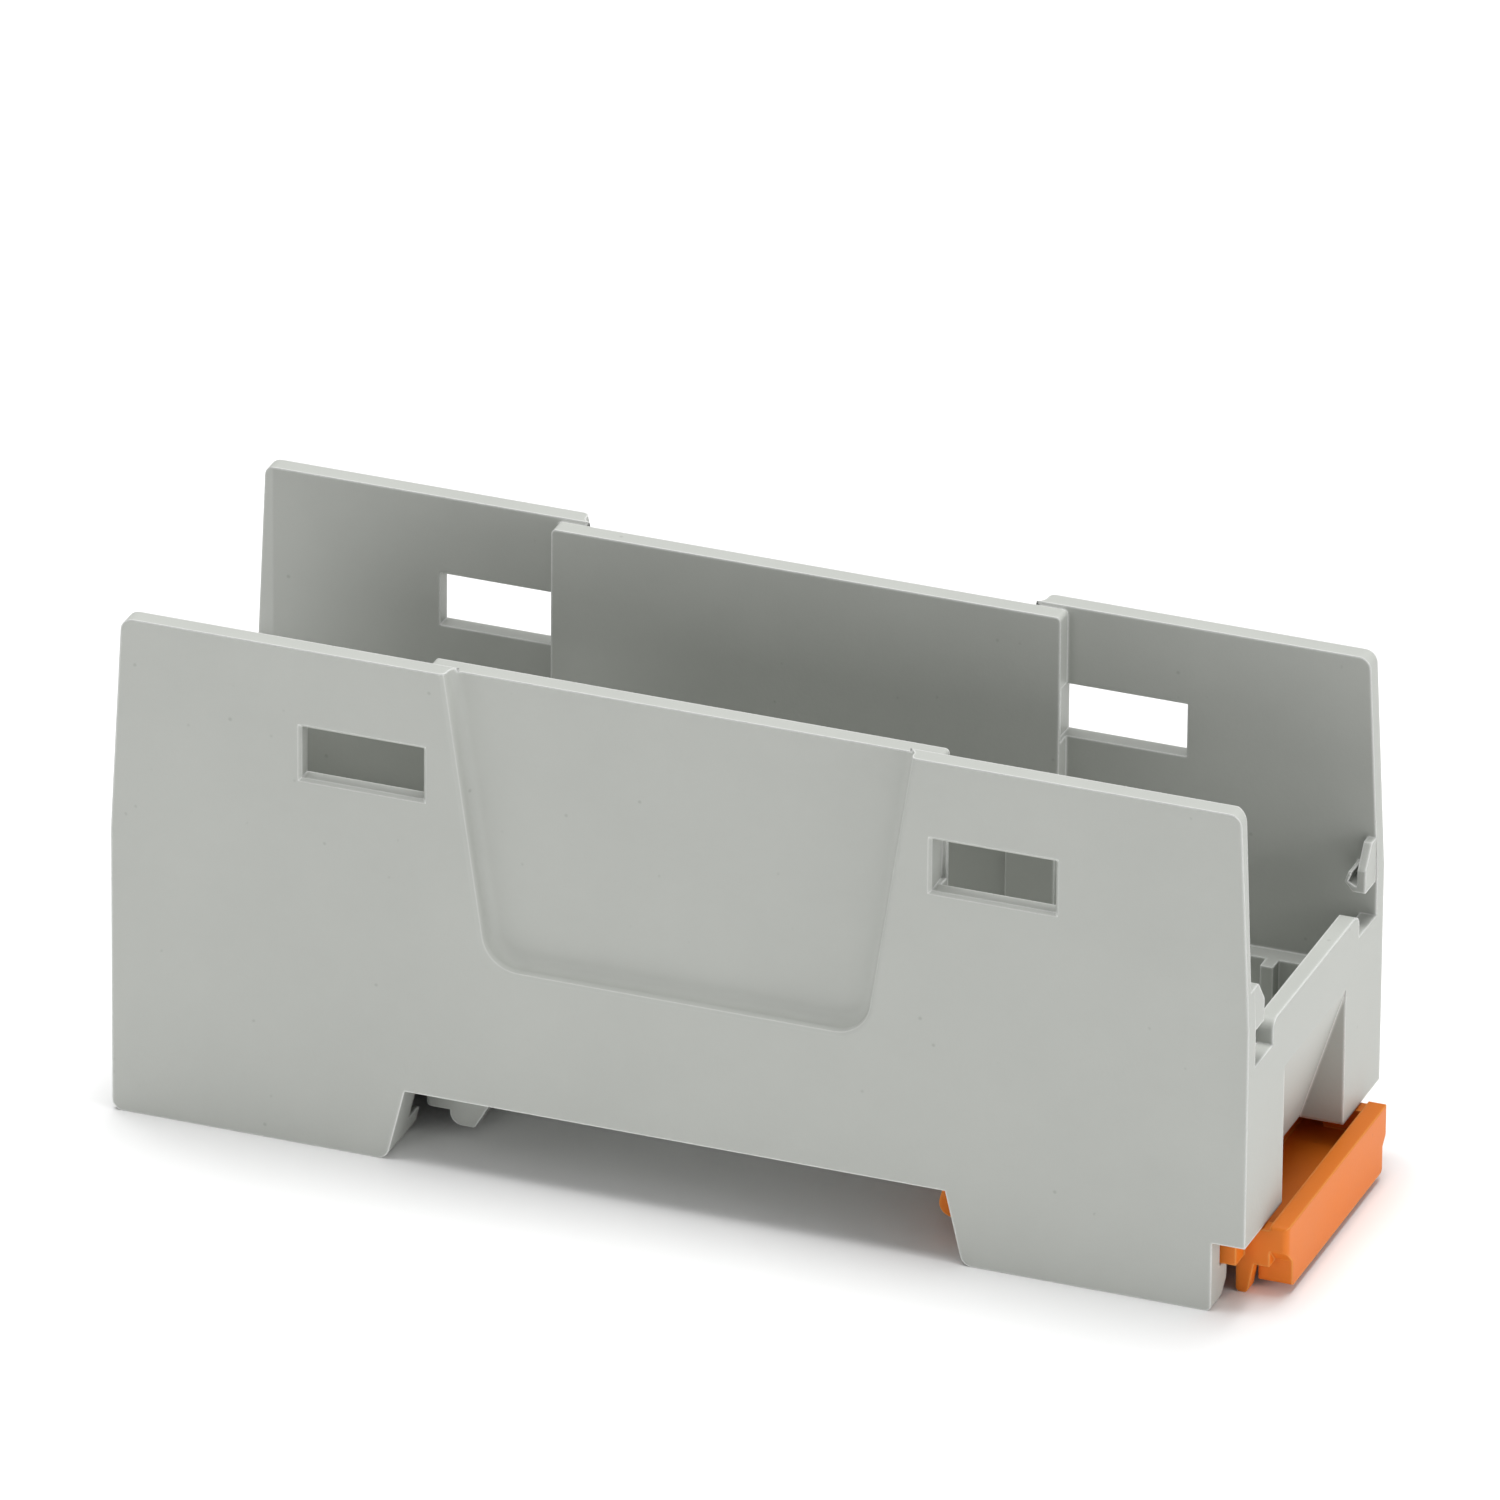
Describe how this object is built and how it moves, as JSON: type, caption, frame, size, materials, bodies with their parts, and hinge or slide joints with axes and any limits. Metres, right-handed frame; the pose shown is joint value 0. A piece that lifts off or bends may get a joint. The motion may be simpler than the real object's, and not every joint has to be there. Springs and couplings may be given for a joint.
{
  "type": "din rail enclosure base",
  "caption": "Narrow open-topped moulded enclosure base that clips on a DIN rail, with a fixed hook at one end and a sliding foot latch at the other.",
  "frame": {"origin": "middle of the rail seat, the flat underside of the floor that lies on the rail", "axes": "+X across the rail towards the foot latch, +Y along the rail, +Z away from the rail towards the open top"},
  "size_m": [0.0767, 0.0246, 0.0341],
  "materials": {
    "housing_grey": "fine matt moulded light grey plastic",
    "latch_orange": "satin moulded orange plastic"
  },
  "bodies": {
    "base": {"housing_base": "housing_grey"},
    "latch": {"foot_latch": "latch_orange"}
  },
  "joints": [
    {"name": "latch_slide", "type": "slide", "parent": "base", "child": "latch", "axis": [1, 0, 0], "range_m": [0, 0.003], "stiffness_N_per_m": 4000, "springref_m": -0.001}
  ]
}
